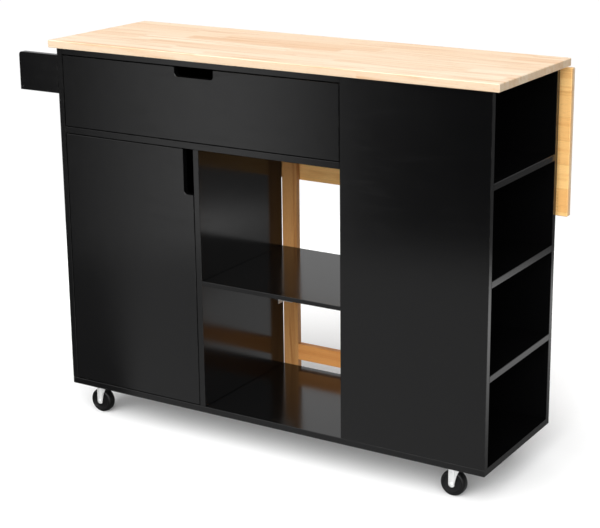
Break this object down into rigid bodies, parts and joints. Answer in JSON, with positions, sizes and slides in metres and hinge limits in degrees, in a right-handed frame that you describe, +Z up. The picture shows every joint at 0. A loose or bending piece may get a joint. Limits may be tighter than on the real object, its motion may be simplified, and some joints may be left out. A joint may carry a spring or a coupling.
{
  "type": "kitchen island cart",
  "caption": "Rolling kitchen island cart with a wood worktop, a drop leaf on a gate leg, a wide drawer, a door cupboard, an open shelf bay, side niches and a side rack.",
  "frame": {"origin": "on the floor, under the middle of the whole cart's box", "axes": "+X to the cart's right seen from the front, +Y to the back, +Z up"},
  "size_m": [1.274, 0.3984, 0.942],
  "materials": {
    "black_board": "satin black painted fibreboard",
    "back_board": "thin black hardboard",
    "worktop_wood": "clear satin lacquer on finger-jointed rubberwood strips",
    "leaf_wood": "clear satin lacquer on finger-jointed rubberwood strips",
    "gate_wood": "clear satin lacquer on solid wood",
    "zinc_plate": "bright zinc plate",
    "zinc_fork": "bright zinc plate",
    "wheel_plastic": "moulded black plastic"
  },
  "bodies": {
    "cabinet": {"bottom_panel": "black_board", "left_side_panel": "black_board", "cupboard_divider": "black_board", "niche_back_wall": "black_board", "front_right_panel": "black_board", "rear_right_panel": "black_board", "drawer_deck": "black_board", "front_top_rail": "black_board", "rear_top_rail": "black_board", "cupboard_back_board": "back_board", "drawer_bay_back_board": "back_board", "niche_shelf_lower": "black_board", "niche_shelf_middle": "black_board", "niche_shelf_upper": "black_board", "open_bay_shelf": "black_board", "cupboard_shelf": "black_board", "worktop": "worktop_wood", "slide_channel_left": "zinc_plate", "slide_channel_right": "zinc_plate", "door_hinge_arm_lower": "zinc_plate", "gate_hinge_fixed_lower": "zinc_plate", "door_hinge_arm_upper": "zinc_plate", "gate_hinge_fixed_upper": "zinc_plate", "leaf_hinge_fixed_left": "zinc_plate", "leaf_hinge_fixed_right": "zinc_plate", "rack_front_plate": "black_board", "rack_rear_plate": "black_board", "rack_bottom_board": "black_board", "rack_outer_rail": "black_board", "caster_plate_front_left": "zinc_plate", "caster_plate_rear_left": "zinc_plate", "caster_plate_front_right": "zinc_plate", "caster_plate_rear_right": "zinc_plate"},
    "drawer": {"drawer_front": "black_board", "drawer_left_side": "black_board", "drawer_right_side": "black_board", "drawer_back": "black_board", "drawer_bottom": "back_board", "slide_rail_left": "zinc_plate", "slide_rail_right": "zinc_plate"},
    "door": {"door_panel": "black_board", "door_hinge_cup_lower": "zinc_plate", "door_hinge_cup_upper": "zinc_plate"},
    "leaf": {"drop_leaf": "leaf_wood", "leaf_hinge_moving_left": "zinc_plate", "leaf_hinge_moving_right": "zinc_plate"},
    "gate_leg": {"gate_hinge_stile": "gate_wood", "gate_free_stile": "gate_wood", "gate_bottom_rail": "gate_wood", "gate_top_rail": "gate_wood", "gate_hinge_moving_lower": "zinc_plate", "gate_hinge_moving_upper": "zinc_plate"},
    "caster_fork_front_left": {"caster_fork_front_left": "zinc_fork"},
    "caster_wheel_front_left": {"caster_wheel_front_left": "wheel_plastic"},
    "caster_fork_rear_left": {"caster_fork_rear_left": "zinc_fork"},
    "caster_wheel_rear_left": {"caster_wheel_rear_left": "wheel_plastic"},
    "caster_fork_front_right": {"caster_fork_front_right": "zinc_fork"},
    "caster_wheel_front_right": {"caster_wheel_front_right": "wheel_plastic"},
    "caster_fork_rear_right": {"caster_fork_rear_right": "zinc_fork"},
    "caster_wheel_rear_right": {"caster_wheel_rear_right": "wheel_plastic"}
  },
  "joints": [
    {"name": "drawer_slide", "type": "slide", "parent": "cabinet", "child": "drawer", "axis": [0, -1, 0], "range_m": [0, 0.22]},
    {"name": "door_hinge", "type": "hinge", "parent": "cabinet", "child": "door", "pos_m": [-0.503, -0.18825, 0.4075], "axis": [0, 0, -1], "range_deg": [0, 95]},
    {"name": "leaf_hinge", "type": "hinge", "parent": "cabinet", "child": "leaf", "pos_m": [0.0505, 0.17525, 0.918], "axis": [1, 0, 0], "range_deg": [0, 90]},
    {"name": "gate_leg_hinge", "type": "hinge", "parent": "cabinet", "child": "gate_leg", "pos_m": [-0.1135, 0.15935, 0.48], "axis": [0, 0, 1], "range_deg": [0, 0.5]},
    {"name": "swivel_front_left", "type": "hinge", "parent": "cabinet", "child": "caster_fork_front_left", "pos_m": [-0.444, -0.14225, 0.08], "axis": [0, 0, 1], "continuous": true},
    {"name": "wheel_spin_front_left", "type": "hinge", "parent": "caster_fork_front_left", "child": "caster_wheel_front_left", "pos_m": [-0.464, -0.14225, 0.03], "axis": [0, 1, 0], "continuous": true},
    {"name": "swivel_rear_left", "type": "hinge", "parent": "cabinet", "child": "caster_fork_rear_left", "pos_m": [-0.444, 0.11375, 0.08], "axis": [0, 0, 1], "continuous": true},
    {"name": "wheel_spin_rear_left", "type": "hinge", "parent": "caster_fork_rear_left", "child": "caster_wheel_rear_left", "pos_m": [-0.464, 0.11375, 0.03], "axis": [0, 1, 0], "continuous": true},
    {"name": "swivel_front_right", "type": "hinge", "parent": "cabinet", "child": "caster_fork_front_right", "pos_m": [0.543, -0.14225, 0.08], "axis": [0, 0, 1], "continuous": true},
    {"name": "wheel_spin_front_right", "type": "hinge", "parent": "caster_fork_front_right", "child": "caster_wheel_front_right", "pos_m": [0.523, -0.14225, 0.03], "axis": [0, 1, 0], "continuous": true},
    {"name": "swivel_rear_right", "type": "hinge", "parent": "cabinet", "child": "caster_fork_rear_right", "pos_m": [0.543, 0.11375, 0.08], "axis": [0, 0, 1], "continuous": true},
    {"name": "wheel_spin_rear_right", "type": "hinge", "parent": "caster_fork_rear_right", "child": "caster_wheel_rear_right", "pos_m": [0.523, 0.11375, 0.03], "axis": [0, 1, 0], "continuous": true}
  ]
}
